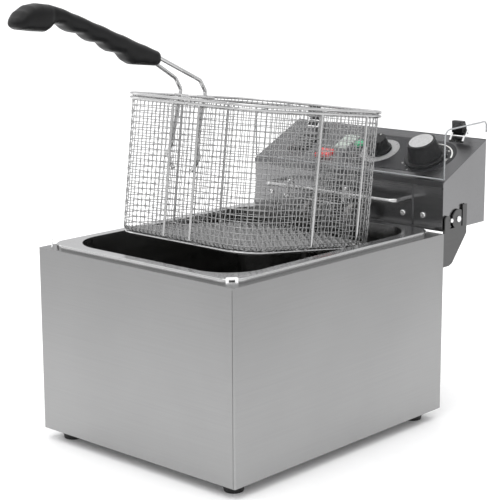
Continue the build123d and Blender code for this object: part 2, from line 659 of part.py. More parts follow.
def hinge_bases():
    """Two pairs of ears on the panel's back edge, each pair on a foot strip."""
    lift = 0.05
    ear = side_profile(
        [
            (HINGE_BASE_Y, slope_z(HINGE_BASE_Y) + lift),
            (420.5, slope_z(420.5) + lift),
            (423, HINGE_Z - 1),
            (421.5, HINGE_Z + 3.2),
            (416.5, HINGE_Z + 3.2),
            (HINGE_BASE_Y, slope_z(HINGE_BASE_Y) + 2.5),
        ],
        HINGE_BLOCK_W / 2 + 0.4,
        HINGE_BLOCK_W / 2 + 0.4 + HINGE_EAR_T,
    )
    half = HINGE_BLOCK_W / 2 + 0.4
    strip = side_profile(
        [
            (HINGE_BASE_Y, slope_z(HINGE_BASE_Y) + lift),
            (414, slope_z(414) + lift),
            (414, slope_z(414) + 1.2),
            (HINGE_BASE_Y, slope_z(HINGE_BASE_Y) + 1.2),
        ],
        -half,
        half,
    )
    base = strip
    for each in both_sides(ear):
        base += each
    base -= cylinder_along("x", -20, HINGE_Y, HINGE_Z, HINGE_PIN_R + 0.01, 40)
    return Compound([Pos(side * HINGE_X, 0, 0) * base for side in (-1, 1)])


def hinge_pins():
    """The two pins that the cover turns on, fixed in the ears."""
    half = HINGE_BLOCK_W / 2 + 0.4 + HINGE_EAR_T + 0.8
    pin = cylinder_along("x", -half, HINGE_Y, HINGE_Z, HINGE_PIN_R, 2 * half)
    return Compound([Pos(side * HINGE_X, 0, 0) * pin for side in (-1, 1)])


def cover_underside(y):
    """The height of the underside of the cover's top at y."""
    (_, _), (y0, z0), (y1, z1), (_, _) = cover_profile()
    return z0 + (z1 - z0) * (y - y0) / (y1 - y0) - COVER_T / 2 - CONTACT_GAP


def cover_profile():
    """The cover's bent sheet as a y, z path along the middle of its thickness."""
    return [
        (HEAD_FRONT + 1.6, slope_z(HEAD_FRONT + 1.6) + 1.2),
        (HEAD_FRONT + 1.6, 325.5),
        (HINGE_Y + 3.0, 328.5),
        (HINGE_Y + 3.0, HINGE_Z + 1.5),
    ]


def transparent_cover():
    """The clear cover: a bent sheet, open at its sides, with notches round the hinges."""
    points = [(0, y, z) for y, z in cover_profile()]
    path = FilletPolyline(*points, radius=[9.0, 5.0])
    section = Plane(origin=path @ 0, x_dir=(1, 0, 0), z_dir=path % 0) * Rectangle(
        2 * COVER_HALF_W, COVER_T
    )
    cover = sweep(section, path=path)
    notch = block(-HINGE_BLOCK_W / 2 - 4.5, HINGE_BLOCK_W / 2 + 4.5, 419.5, 430, 300, 322.5)
    for side in (-1, 1):
        cover -= Pos(side * HINGE_X, 0, 0) * notch
    return cover


def hinge_blocks():
    """The two dark blocks under the cover's back edge that turn on the pins."""
    body = side_profile(
        [
            (HINGE_Y - 8, HINGE_Z),
            (HINGE_Y + 1, HINGE_Z),
            (HINGE_Y + 1, HINGE_Z + 6.4),
            (HINGE_Y - 2.5, cover_underside(HINGE_Y - 2.5)),
            (HINGE_Y - 8, cover_underside(HINGE_Y - 8)),
        ],
        -HINGE_BLOCK_W / 2,
        HINGE_BLOCK_W / 2,
    )
    body += cylinder_along("x", -HINGE_BLOCK_W / 2, HINGE_Y, HINGE_Z, 4.0, HINGE_BLOCK_W)
    body -= cylinder_along("x", -20, HINGE_Y, HINGE_Z, HINGE_PIN_R + RUNNING, 40)
    return Compound([Pos(side * HINGE_X, 0, 0) * body for side in (-1, 1)])


# ---- basket, in its own level frame: origin under the middle of its floor ---------------------

WALL_X, WALL_Y = BASKET_W / 2, BASKET_D / 2
RIM_TOP_Z = BASKET_TOP - RIM_R
RIM_LOW_Z = RIM_TOP_Z - RIM_GAP
FLOOR_Z = 2 * RIM_R


def in_basket(shape):
    """Move a shape from the basket's level frame to where the basket is held."""
    return Pos(0, BASKET_Y, BASKET_Z) * Rot(BASKET_TILT, 0, 0) * shape


def basket_mesh():
    """The mesh as a thin open-topped shell."""
    outer = extrude(RectangleRounded(BASKET_W, BASKET_D, BASKET_CORNER), BASKET_TOP - FLOOR_Z)
    outer = fillet(outer.faces().sort_by(Axis.Z)[0].edges(), 3.0)
    inner = extrude(
        RectangleRounded(BASKET_W - 2 * MESH_T, BASKET_D - 2 * MESH_T, BASKET_CORNER - MESH_T),
        BASKET_TOP,
    )
    inner = fillet(inner.faces().sort_by(Axis.Z)[0].edges(), 3.0 - MESH_T)
    return in_basket(Pos(0, 0, FLOOR_Z) * (outer - Pos(0, 0, MESH_T) * inner))


def basket_rim(z):
    """One of the two wires round the outside of the basket's top."""
    grow = 2 * (RIM_R + CONTACT_GAP)
    ring = wire_ring(BASKET_W + grow, BASKET_D + grow, BASKET_CORNER + grow / 2, z, RIM_R)
    return in_basket(ring)


def basket_base_ring():
    """The wire ring under the edge of the basket's floor."""
    return in_basket(wire_ring(BASKET_W - 8, BASKET_D - 8, BASKET_CORNER - 4, RIM_R - CONTACT_GAP, RIM_R))


def basket_floor_wires():
    """Crossing wires under the floor, inside the base ring: one layer across and one lengthways."""
    reach = 1.55
    half_x, half_y = WALL_X - 4 - reach, WALL_Y - 4 - reach
    low, high = FLOOR_WIRE_R, 3 * FLOOR_WIRE_R - CONTACT_GAP
    across = [cylinder_along("x", -half_x, y, low, FLOOR_WIRE_R, 2 * half_x) for y in (-62, -11, 64)]
    along = [cylinder_along("y", x, -half_y, high, FLOOR_WIRE_R, 2 * half_y) for x in FRONT_STAY_XS]
    return in_basket(Compound(across + along))


def wall_stays(places):
    """Upright wires on the outside of the basket's walls, from the base ring to the lower rim."""
    bottom = FLOOR_Z + 3.0
    height = RIM_LOW_Z - RIM_R - CONTACT_GAP - bottom
    return in_basket(Compound([cylinder_along("z", x, y, bottom, STAY_R, height) for x, y in places]))


def basket_rear_hook():
    """A bent wire on the back wall whose two prongs drop over the hanger."""
    wall = WALL_Y + RIM_R + CONTACT_GAP
    prong = wall + HOOK_REACH
    right = [
        (HOOK_HALF, prong, HOOK_TIP_Z),
        (HOOK_HALF, prong, HOOK_TOP_Z),
        (HOOK_HALF, wall, HOOK_TOP_Z),
        (HOOK_HALF, wall, HOOK_BASE_Z),
    ]
    left = [(-x, y, z) for x, y, z in reversed(right)]
    return in_basket(bent_rod(right + left, RIM_R, 4.0))


# ---- handle, in the basket's frame ------------------------------------------------------------

ROD_GAP = 0.3
ROD_WALL_Y = -(WALL_Y - MESH_T - HANDLE_ROD_R - ROD_GAP)
ROD_RIM_Y = -99.0
BAR_Z, BAR_ROD_Y, BAR_RIM_Y = BASKET_TOP + RIM_R + ROD_GAP, -103.35, -109.5


def rod_route(side):
    """A handle rod from its clip kink, up inside the wall, back over the rim and into the grip."""
    x = side * HANDLE_ROD_X
    return [
        (x - side * 4, ROD_WALL_Y, 76),
        (x + side * 5, ROD_WALL_Y, 90),
        (x, ROD_WALL_Y, 104),
        (x, ROD_RIM_Y, 157),
        (x, -108, 168),
        (side * 9, -160, 187.5),
        (side * 9, -250, 207),
    ]


def handle_rod(side):
    """One rod of the handle."""
    return in_basket(bent_rod(rod_route(side), HANDLE_ROD_R, [4, 4, 6, 8, 8]))


def handle_cross_bar():
    """The bar across both rods, with a crank between them that rests on the rim."""
    points = [
        (-21, BAR_ROD_Y, BAR_Z),
        (-10, BAR_ROD_Y, BAR_Z),
        (-5, BAR_RIM_Y, BAR_Z),
        (5, BAR_RIM_Y, BAR_Z),
        (10, BAR_ROD_Y, BAR_Z),
        (34, BAR_ROD_Y, BAR_Z),
    ]
    return in_basket(bent_rod(points, RIM_R, 2.5))


def handle_grip():
    """The moulded grip: straight back, finger scallops underneath and a hooked end."""
    nose_top, nose_low = (-155.0, 194.0), (-157.0, 178.5)
    back_end, tip_top = (-292.0, 227.0), (-322.0, 226.0)
    tip, tip_low = (-338.0, 207.0), (-332.0, 201.0)
    hook_low, hook_in = (-304.0, 201.5), (-294.0, 209.0)
    scallops = [(-281.0, 201.5), (-265.0, 203.5), (-252.0, 195.0), (-238.0, 197.5), (-226.0, 188.0)]
    scallops += [(-213.0, 190.5), (-197.0, 179.5)]
    outline = Polyline(nose_top, back_end) + ThreePointArc(back_end, (-308.0, 229.0), tip_top)
    outline += ThreePointArc(tip_top, (-333.0, 218.5), tip)
    outline += Polyline(tip, tip_low, hook_low, hook_in, *scallops, nose_low, nose_top)
    body = extrude(Plane.YZ * make_face(outline), 2 * GRIP_HALF_W)
    body = Pos(-GRIP_HALF_W, 0, 0) * body
    side_lines = body.faces().filter_by(Axis.X).edges().filter_by(GeomType.LINE)
    body = chamfer(side_lines.sort_by(SortBy.LENGTH)[-2:], 4)
    grip = in_basket(body)
    for side in (-1, 1):
        grip -= handle_rod(side)
    return grip


# ---- write every node -------------------------------------------------------------------------

SIDE_STAY_X, FRONT_STAY_Y = WALL_X + STAY_R + CONTACT_GAP, -(WALL_Y + STAY_R + CONTACT_GAP)
STAY_PLACES = [(sx * SIDE_STAY_X, y) for sx in (-1, 1) for y in (-11, 64)]
STAY_PLACES += [(x, FRONT_STAY_Y) for x in FRONT_STAY_XS]

NODES = {
    "casing_shell": casing_shell(),
    "base_plate": base_plate(),
    "rear_panel": rear_panel(),
    "foot_screws": foot_screws(),
    "rear_panel_screws": rear_panel_screws(),
    "bracket_left": bracket(-1),
    "bracket_right": bracket(1),
    "bracket_screws": bracket_screws(),
    "tank": tank(),
    "tank_locating_lugs": tank_locating_lugs(),
    "head_housing": head_housing(),
    "control_panel": control_panel(),
    "head_back_cover": head_back_cover(),
    "head_bottom_plate": head_bottom_plate(),
    "back_cover_screws": back_cover_screws(),
    "element_plate": element_plate(),
    "element_plate_screws": element_plate_screws(),
    "heating_element": heating_element(),
    "element_nuts": element_nuts(),
    "capillary_bulbs": Compound([bulb(side) for side in (-1, 1)]),
    "bulb_bracket": bulb_bracket(),
    "basket_hanger": basket_hanger(),
    "pivot_pins": side_pins(PIVOT_Y, PIVOT_R, 3.6, 1.6, 4.0),
    "stop_pins": side_pins(STOP_PIN_Y, STOP_PIN_R, 2.4, 1.2, 3.0),
    "panel_label": panel_label(),
    "thermostat_body": thermostat_body(),
    "timer_body": timer_body(),
    "limiter_body": limiter_body(),
    "rocker_housing": rocker_housing(),
    "lamp_red": lamp_red(),
    "lamp_green": lamp_green(),
    "terminal_block": terminal_block(),
    "wiring": wiring(),
    "cable_gland": cable_gland(),
    "hinge_bases": hinge_bases(),
    "hinge_pins": hinge_pins(),
    "thermostat_knob": control_knob(THERMOSTAT_AT, 24.5, 19.8, THERMOSTAT_TOP_R, THERMOSTAT_H, 16.0, 16),
    "thermostat_knob_cap": thermostat_knob_cap(),
    "thermostat_shaft": control_shaft(THERMOSTAT_AT, 16.0),
    "timer_knob": control_knob(TIMER_AT, 14.5, 12.5, TIMER_TOP_R, TIMER_H, 12.0, 10),
    "timer_shaft": control_shaft(TIMER_AT, 12.0),
    "rocker_button": rocker_button(),
    "reset_button": reset_button(),
    "transparent_cover": transparent_cover(),
    "hinge_blocks": hinge_blocks(),
    "basket_mesh": basket_mesh(),
    "basket_rim_upper": basket_rim(RIM_TOP_Z),
    "basket_rim_lower": basket_rim(RIM_LOW_Z),
    "basket_base_ring": basket_base_ring(),
    "basket_floor_wires": basket_floor_wires(),
    "basket_wall_stays": wall_stays(STAY_PLACES),
    "basket_rear_hook": basket_rear_hook(),
    "handle_rod_left": handle_rod(-1),
    "handle_rod_right": handle_rod(1),
    "handle_cross_bar": handle_cross_bar(),
    "handle_grip": handle_grip(),
}

FOOT_NAMES = ("foot_front_left", "foot_rear_left", "foot_front_right", "foot_rear_right")
for name, (x, y) in zip(FOOT_NAMES, FOOT_PLACES):
    NODES[name] = rubber_foot(x, y)

os.makedirs("parts", exist_ok=True)
for name, shape in NODES.items():
    export_step(Pos(0, -MIDDLE_Y, 0) * shape, f"parts/{name}.step")
whole = Compound([Pos(0, -MIDDLE_Y, 0) * shape for shape in NODES.values()]).bounding_box()
print("nodes", len(NODES), "whole", whole.min, whole.max)
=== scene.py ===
"""Looks for the countertop deep fryer: materials, woven basket, grip, dial markings, cover edges."""

import math
import random

import bmesh
import bpy
from mathutils import Matrix, Vector


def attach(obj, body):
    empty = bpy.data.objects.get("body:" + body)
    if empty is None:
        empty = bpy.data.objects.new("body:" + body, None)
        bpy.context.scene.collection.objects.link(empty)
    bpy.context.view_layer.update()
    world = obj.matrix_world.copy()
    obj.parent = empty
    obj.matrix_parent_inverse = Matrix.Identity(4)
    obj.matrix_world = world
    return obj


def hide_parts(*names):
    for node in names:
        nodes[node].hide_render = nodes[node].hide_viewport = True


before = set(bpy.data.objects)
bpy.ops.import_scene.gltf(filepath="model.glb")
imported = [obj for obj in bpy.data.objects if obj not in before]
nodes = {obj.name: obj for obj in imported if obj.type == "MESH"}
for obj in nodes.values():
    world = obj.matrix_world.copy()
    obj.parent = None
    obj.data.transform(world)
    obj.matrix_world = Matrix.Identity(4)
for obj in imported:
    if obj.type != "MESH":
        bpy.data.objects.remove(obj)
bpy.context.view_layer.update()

# Camera, lights, floor and looks are in metres; the pieces are worked out in mm and scaled by MM.
# MIDDLE_Y is where the frame's origin lies, measured back from the casing's front face.
MM = 0.001
MIDDLE_Y = 146.7
random.seed(7)


# ---- camera, light, floor ---------------------------------------------------------------------

CAMERA_AT = (1.078797, -1.154926, 0.548948)
CAMERA_YAW, CAMERA_PITCH, CAMERA_ROLL = 0.738033, 0.214198, -0.003324
CAMERA_LENS = 108.85
WORLD_STRENGTH = 1.52
FLOOR_REACH = 50.0


def make_camera():
    """A long lens from the front right, looking slightly down; place in metres, angles in radians."""
    data = bpy.data.cameras.new("camera")
    data.sensor_width = 36.0
    data.lens = CAMERA_LENS
    data.clip_start, data.clip_end = 0.1, 120.0
    yaw, pitch, roll = CAMERA_YAW, CAMERA_PITCH, CAMERA_ROLL
    level = math.cos(pitch)
    forward = Vector((-math.sin(yaw) * level, math.cos(yaw) * level, -math.sin(pitch)))
    right = Vector((math.cos(yaw), math.sin(yaw), 0.0))
    up = right.cross(forward)
    right_r = right * math.cos(roll) + up * math.sin(roll)
    up_r = up * math.cos(roll) - right * math.sin(roll)
    turn = Matrix((right_r, up_r, -forward)).transposed()
    cam = bpy.data.objects.new("camera", data)
    cam.matrix_world = Matrix.Translation(CAMERA_AT) @ turn.to_4x4()
    bpy.context.scene.collection.objects.link(cam)
    bpy.context.scene.camera = cam


def area_light(name, place, target, size, power):
    """A square soft light aimed at a target."""
    data = bpy.data.lights.new(name, "AREA")
    data.energy = power
    data.shape = "RECTANGLE"
    data.size = size
    data.size_y = size
    light = bpy.data.objects.new(name, data)
    light.location = place
    aim = Vector(target) - Vector(place)
    light.rotation_mode = "QUATERNION"
    light.rotation_quaternion = aim.to_track_quat("-Z", "Y")
    bpy.context.scene.collection.objects.link(light)


def make_world():
    """Even white surroundings, brighter overhead than at the horizon."""
    world = bpy.data.worlds.new("studio")
    world.use_nodes = True
    bpy.context.scene.world = world
    tree = world.node_tree
    back = tree.nodes["Background"]
    coords = tree.nodes.new("ShaderNodeTexCoord")
    split = tree.nodes.new("ShaderNodeSeparateXYZ")
    ramp = tree.nodes.new("ShaderNodeValToRGB")
    tree.links.new(coords.outputs["Generated"], split.inputs[0])
    tree.links.new(split.outputs["Z"], ramp.inputs[0])
    horizon, overhead = ramp.color_ramp.elements
    horizon.position, horizon.color = 0.0, (0.52, 0.52, 0.52, 1)
    overhead.position, overhead.color = 0.9, (1.0, 1.0, 1.0, 1)
    ramp.color_ramp.elements.new(0.3).color = (0.60, 0.60, 0.61, 1)
    tree.links.new(ramp.outputs[0], back.inputs["Color"])
    back.inputs["Strength"].default_value = WORLD_STRENGTH


def make_floor():
    """A wide sheet of paper that the fryer stands on, part of the stage only."""
    bm = bmesh.new()
    bmesh.ops.create_grid(bm, x_segments=2, y_segments=2, size=FLOOR_REACH)
    data = bpy.data.meshes.new("floor")
    bm.to_mesh(data)
    bm.free()
    data.materials.append(LOOKS["paper"])
    floor = bpy.data.objects.new("floor", data)
    bpy.context.scene.collection.objects.link(floor)


# ---- material helpers -------------------------------------------------------------------------

NOISE_LOW, NOISE_HIGH = 0.3, 0.7
# the Mix node's colour sockets, which share their names with its float and vector ones
MIX_A, MIX_B, MIX_RESULT = 6, 7, 2


class Shader:
    """A node material built a step at a time."""

    def __init__(self, name):
        self.mat = bpy.data.materials.new(name)
        self.mat.use_nodes = True
        self.tree = self.mat.node_tree
        self.bsdf = self.tree.nodes["Principled BSDF"]
        self.coords = self.tree.nodes.new("ShaderNodeTexCoord")

    def put(self, **values):
        """Set plain values on the shader's inputs."""
        for key, value in values.items():
            self.bsdf.inputs[key.replace("_", " ")].default_value = value

    def link(self, source, target):
        self.tree.links.new(source, target)

    def mapped(self, scale):
        """Object coordinates, scaled."""
        node = self.tree.nodes.new("ShaderNodeMapping")
        node.inputs["Scale"].default_value = scale
        self.link(self.coords.outputs["Object"], node.inputs["Vector"])
        return node.outputs[0]

    def noise(self, scale, detail=4.0, rough=0.55):
        """Noise whose grain per metre is given along each axis."""
        node = self.tree.nodes.new("ShaderNodeTexNoise")
        node.inputs["Scale"].default_value = 1.0
        node.inputs["Detail"].default_value = detail
        node.inputs["Roughness"].default_value = rough
        self.link(self.mapped(scale), node.inputs["Vector"])
        return node.outputs["Fac"]

    def ramp(self, fac, stops):
        """Colours at stops along a value."""
        node = self.tree.nodes.new("ShaderNodeValToRGB")
        elements = node.color_ramp.elements
        while len(elements) < len(stops):
            elements.new(0.5)
        for element, (place, colour) in zip(elements, stops):
            element.position = place
            element.color = (*colour, 1)
        self.link(fac, node.inputs[0])
        return node.outputs["Color"]

    def span(self, fac, low, high):
        """Spread the noise's middle range over low to high."""
        node = self.tree.nodes.new("ShaderNodeMapRange")
        node.inputs["From Min"].default_value = NOISE_LOW
        node.inputs["From Max"].default_value = NOISE_HIGH
        node.inputs["To Min"].default_value = low
        node.inputs["To Max"].default_value = high
        self.link(fac, node.inputs["Value"])
        return node.outputs[0]

    def by_height(self, low_z, high_z, stops):
        """Colour stops spread over the object's height between two heights, in metres."""
        split = self.tree.nodes.new("ShaderNodeSeparateXYZ")
        self.link(self.coords.outputs["Object"], split.inputs[0])
        height = self.tree.nodes.new("ShaderNodeMapRange")
        height.inputs["From Min"].default_value = low_z
        height.inputs["From Max"].default_value = high_z
        self.link(split.outputs["Z"], height.inputs["Value"])
        return self.ramp(height.outputs[0], stops)

    def multiplied(self, first, second):
        """Two colours multiplied."""
        mix = self.tree.nodes.new("ShaderNodeMix")
        mix.data_type = "RGBA"
        mix.blend_type = "MULTIPLY"
        mix.inputs["Factor"].default_value = 1.0
        self.link(first, mix.inputs[MIX_A])
        self.link(second, mix.inputs[MIX_B])
        return mix.outputs[MIX_RESULT]

    def mottled(self, fac, base, low, high):
        """Colour the shader with its base colour, varied by the noise between two factors."""
        stops = [(NOISE_LOW, shade(base, low)), (NOISE_HIGH, shade(base, high))]
        self.link(self.ramp(fac, stops), self.bsdf.inputs["Base Color"])

    def roughened(self, fac, low, high):
        """Vary the shader's roughness by the noise."""
        self.link(self.span(fac, low, high), self.bsdf.inputs["Roughness"])

    def bump(self, fac, strength, distance=0.0002):
        """Relief from a value; the distance is in metres."""
        node = self.tree.nodes.new("ShaderNodeBump")
        node.inputs["Strength"].default_value = strength
        node.inputs["Distance"].default_value = distance
        self.link(fac, node.inputs["Height"])
        self.link(node.outputs[0], self.bsdf.inputs["Normal"])


def shade(base, factor):
    """A colour made darker or lighter."""
    return tuple(min(1.0, c * factor) for c in base)


def brushed(name, base, rough, grain, smear=0.10, bump=0.08, painted_light_ramp=None):
    """Brushed stainless with fine streaks; the optional height ramp paints light and shade on it from one
    (height, factor) to another.
    """
    shader = Shader(name)
    shader.put(Metallic=1.0)
    streak = shader.noise(grain, detail=6.0, rough=0.7)
    cloud = shader.noise((7.0, 7.0, 7.0), detail=3.0)
    mix = shader.tree.nodes.new("ShaderNodeMix")
    mix.data_type = "FLOAT"
    mix.inputs["Factor"].default_value = 0.45
    shader.link(streak, mix.inputs["A"])
    shader.link(cloud, mix.inputs["B"])
    if painted_light_ramp:
        (low_z, low), (high_z, high) = painted_light_ramp
        stops = [(NOISE_LOW, shade(base, 1 - smear)), (NOISE_HIGH, shade(base, 1 + smear))]
        # painted light and shade: the colour is scaled by height between the two factors
        tone = shader.by_height(low_z, high_z, [(0.0, (low,) * 3), (1.0, (high,) * 3)])
        colour = shader.multiplied(shader.ramp(mix.outputs["Result"], stops), tone)
        shader.link(colour, shader.bsdf.inputs["Base Color"])
    else:
        shader.mottled(mix.outputs["Result"], base, 1 - smear, 1 + smear)
    shader.roughened(streak, rough * 0.86, rough * 1.2)
    shader.bump(streak, bump)
    return shader.mat


def plated(name, base, rough):
    """Bright plated wire: near mirror with the faintest clouding."""
    shader = Shader(name)
    shader.put(Metallic=1.0)
    cloud = shader.noise((40.0, 40.0, 40.0), detail=2.0)
    shader.mottled(cloud, base, 0.94, 1.04)
    shader.roughened(cloud, rough * 0.9, rough * 1.15)
    return shader.mat


def drawn_tank(name, light, dark, rough):
    """The tank's satin steel: painted light on the flange, painted shade on the walls below it."""
    shader = Shader(name)
    shader.put(Metallic=1.0)
    # painted light and shade: dark below the flange as shade inside the tank, light on the flange
    tone = shader.by_height(0.150, 0.2164, [(0.0, dark), (0.85, shade(dark, 1.1)), (1.0, light)])
    streak = shader.noise((60.0, 9.0, 60.0), detail=5.0, rough=0.6)
    worn = shader.ramp(streak, [(NOISE_LOW, (0.90, 0.90, 0.90)), (NOISE_HIGH, (1.0, 1.0, 1.0))])
    shader.link(shader.multiplied(tone, worn), shader.bsdf.inputs["Base Color"])
    shader.roughened(streak, rough * 0.86, rough * 1.2)
    return shader.mat


def moulded(name, base, rough, grain=900.0, bump=0.12, coat=0.0, sheen=0.5):
    """Moulded plastic or rubber: fine grain, slight tone change."""
    shader = Shader(name)
    shader.put(Metallic=0.0, Specular_IOR_Level=sheen)
    fine = shader.noise((grain, grain, grain), detail=2.0)
    broad = shader.noise((22.0, 22.0, 22.0), detail=3.0)
    shader.mottled(broad, base, 0.85, 1.2)
    shader.roughened(fine, rough * 0.85, rough * 1.15)
    shader.bump(fine, bump)
    if coat:
        shader.put(Coat_Weight=coat, Coat_Roughness=0.08)
    return shader.mat


def lens(name, base, glow):
    """A tinted lamp lens."""
    shader = Shader(name)
    shader.put(Roughness=0.12, Transmission_Weight=0.35, IOR=1.49, Coat_Weight=0.6)
    rings = shader.noise((260.0, 260.0, 40.0), detail=1.0)
    stops = [(0.35, shade(base, 0.7)), (0.65, shade(base, 1.25))]
    shader.link(shader.ramp(rings, stops), shader.bsdf.inputs["Base Color"])
    shader.bump(rings, 0.25, 0.0004)
    shader.put(Emission_Color=(*base, 1), Emission_Strength=glow)
    return shader.mat


def clear_sheet(name):
    """Clear bent plastic sheet with a faint tint and a few scuffs."""
    shader = Shader(name)
    shader.put(Alpha=0.05)
    scuff = shader.noise((30.0, 30.0, 30.0), detail=6.0, rough=0.7)
    tints = [(NOISE_LOW, (0.16, 0.165, 0.17)), (NOISE_HIGH, (0.24, 0.245, 0.25))]
    shader.link(shader.ramp(scuff, tints), shader.bsdf.inputs["Base Color"])
    shader.roughened(scuff, 0.08, 0.16)
    return shader.mat


def print_ink(name, base, rough=0.45):
    """Printed ink on a label."""
    shader = Shader(name)
    speck = shader.noise((1400.0, 1400.0, 1400.0), detail=2.0)
    shader.mottled(speck, base, 0.88, 1.06)
    shader.roughened(speck, rough * 0.9, rough * 1.1)
    return shader.mat


def floor_paper(name):
    """Seamless white studio paper."""
    shader = Shader(name)
    fibre = shader.noise((60.0, 60.0, 60.0))
    tones = [(NOISE_LOW, (0.955, 0.955, 0.955)), (NOISE_HIGH, (0.975, 0.975, 0.975))]
    shader.link(shader.ramp(fibre, tones), shader.bsdf.inputs["Base Color"])
    shader.put(Roughness=0.9)
    return shader.mat


LOOKS = {
    "casing": brushed(
        "casing_steel",
        (0.29, 0.29, 0.29),
        0.32,
        (6.0, 6.0, 520.0),
        smear=0.07,
        bump=0.05,
        # painted floor light: brighter low down, where the floor's light falls, and darker towards the top
        painted_light_ramp=((0.02, 1.2), (0.21, 0.86)),
    ),
    # tank: a painted light colour for the flange, a painted shade colour for the walls below it
    "rim": drawn_tank("tank_steel", (0.48, 0.48, 0.48), (0.30, 0.30, 0.295), 0.20),
    "head": brushed("head_steel", (0.22, 0.22, 0.223), 0.22, (5.0, 300.0, 300.0)),
    "panel": brushed("panel_steel", (0.115, 0.115, 0.118), 0.30, (5.0, 420.0, 420.0)),
    "bracket": brushed("bracket_steel", (0.105, 0.105, 0.105), 0.32, (60.0, 9.0, 300.0)),
    "element": brushed("element_sheath", (0.20, 0.195, 0.19), 0.36, (60.0, 60.0, 60.0), smear=0.25),
    "screw": plated("screw_plate", (0.80, 0.80, 0.80), 0.20),
    "wire": plated("basket_wire", (0.50, 0.50, 0.50), 0.16),
    "mesh": plated("mesh_wire", (0.40, 0.40, 0.40), 0.26),
    "cap": brushed("cap_spun", (0.50, 0.50, 0.50), 0.20, (140.0, 140.0, 140.0)),
    "rubber": moulded("foot_rubber", (0.012, 0.012, 0.012), 0.62),
    "knob": moulded("knob_plastic", (0.0035, 0.0035, 0.0038), 0.36, 1200.0, 0.06, sheen=0.14),
    "grip": moulded("grip_plastic", (0.0035, 0.0035, 0.0038), 0.40, 1500.0, sheen=0.20),
    "switch": moulded("switch_plastic", (0.007, 0.007, 0.007), 0.20, 600.0, 0.03, coat=0.1, sheen=0.3),
    "label": moulded("label_film", (0.016, 0.016, 0.018), 0.42, 2000.0, 0.04, sheen=0.22),
    "inner": moulded("inner_plastic", (0.70, 0.67, 0.58), 0.45),
    "wiring": moulded("wire_silicone", (0.36, 0.04, 0.03), 0.5),
    "red": lens("lens_red", (0.80, 0.03, 0.03), 0.12),
    "green": lens("lens_green", (0.02, 0.50, 0.22), 0.15),
    "clear": clear_sheet("cover_clear"),
    "edge": moulded("cover_edge", (0.34, 0.35, 0.36), 0.25, 600.0, 0.02),
    "dial": print_ink("dial_grey", (0.34, 0.34, 0.34)),
    "ink": print_ink("ink_pale", (0.72, 0.72, 0.70)),
    "ink_dark": print_ink("ink_dark", (0.03, 0.03, 0.03)),
    "patch": print_ink("patch_pale", (0.46, 0.52, 0.47), 0.5),
    "paper": floor_paper("studio_paper"),
}

NODE_LOOK = {
    "casing_shell": "casing", "base_plate": "casing", "rear_panel": "casing", "tank": "rim",
    "bracket_left": "bracket", "bracket_right": "bracket", "tank_locating_lugs": "screw",
    "foot_front_left": "rubber", "foot_rear_left": "rubber", "foot_front_right": "rubber",
    "foot_rear_right": "rubber", "foot_screws": "screw", "rear_panel_screws": "screw",
    "bracket_screws": "screw", "head_housing": "head", "control_panel": "panel",
    "head_back_cover": "head", "head_bottom_plate": "head", "back_cover_screws": "screw",
    "element_plate": "head", "element_plate_screws": "screw", "heating_element": "element",
    "element_nuts": "screw", "capillary_bulbs": "element", "bulb_bracket": "element",
    "basket_hanger": "wire", "pivot_pins": "screw", "stop_pins": "screw", "panel_label": "label",
    "thermostat_body": "inner", "timer_body": "inner", "limiter_body": "inner",
    "rocker_housing": "switch", "lamp_red": "red", "lamp_green": "green", "terminal_block": "inner",
    "wiring": "wiring", "cable_gland": "switch", "hinge_bases": "screw", "hinge_pins": "screw",
    "thermostat_knob": "knob", "thermostat_knob_cap": "cap", "thermostat_shaft": "screw",
    "timer_knob": "knob", "timer_shaft": "screw", "rocker_button": "switch", "reset_button": "red",
    "transparent_cover": "clear", "hinge_blocks": "knob", "basket_mesh": "mesh",
    "basket_rim_upper": "wire", "basket_rim_lower": "wire", "basket_base_ring": "wire",
    "basket_floor_wires": "wire", "basket_wall_stays": "wire", "basket_rear_hook": "wire",
    "handle_rod_left": "wire", "handle_rod_right": "wire", "handle_cross_bar": "wire",
    "handle_grip": "grip",
}


def dress_cad():
    """Give every carried-over CAD node its material."""
    for name, look in NODE_LOOK.items():
        data = nodes[name].data
        data.materials.clear()
        data.materials.append(LOOKS[look])


# ---- mesh helpers -----------------------------------------------------------------------------

def finish_piece(name, bm, look, body, smooth=True):
    """Turn a bmesh into a named piece with its material, riding on a body."""
    bmesh.ops.recalc_face_normals(bm, faces=bm.faces)
    data = bpy.data.meshes.new(name)
    bm.to_mesh(data)
    bm.free()
    data.materials.append(LOOKS[look])
    if smooth:
        data.shade_smooth()
    piece = bpy.data.objects.new(name, data)
    bpy.context.scene.collection.objects.link(piece)
    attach(piece, body)
    return piece


def join_rings(bm, a, b):
    """Faces between two closed rings of vertices."""
    count = len(a)
    for k in range(count):
        bm.faces.new((a[k], a[(k + 1) % count], b[(k + 1) % count], b[k]))


def add_tube(bm, points, radius, sides=6, closed=False):
    """A round tube along points, both in metres, with its ends capped unless it is closed."""
    count = len(points)
    rings = []
    normal = None
    for i, here in enumerate(points):
        before = points[i - 1] if (i > 0 or closed) else here
        after = points[(i + 1) % count] if (i < count - 1 or closed) else here
        along = (after - before).normalized()
        if normal is None:
            side = Vector((0, 0, 1)) if abs(along.z) < 0.9 else Vector((1, 0, 0))
            normal = (side - along * side.dot(along)).normalized()
        normal = (normal - along * normal.dot(along)).normalized()
        other = along.cross(normal)
        ring = []
        for k in range(sides):
            angle = 2 * math.pi * k / sides
            outward = normal * math.cos(angle) + other * math.sin(angle)
            ring.append(bm.verts.new(here + outward * radius))
        rings.append(ring)
    spans = count if closed else count - 1
    for i in range(spans):
        a, b = rings[i], rings[(i + 1) % count]
        join_rings(bm, a, b)
    if not closed:
        bm.faces.new(rings[0])
        bm.faces.new(rings[-1])


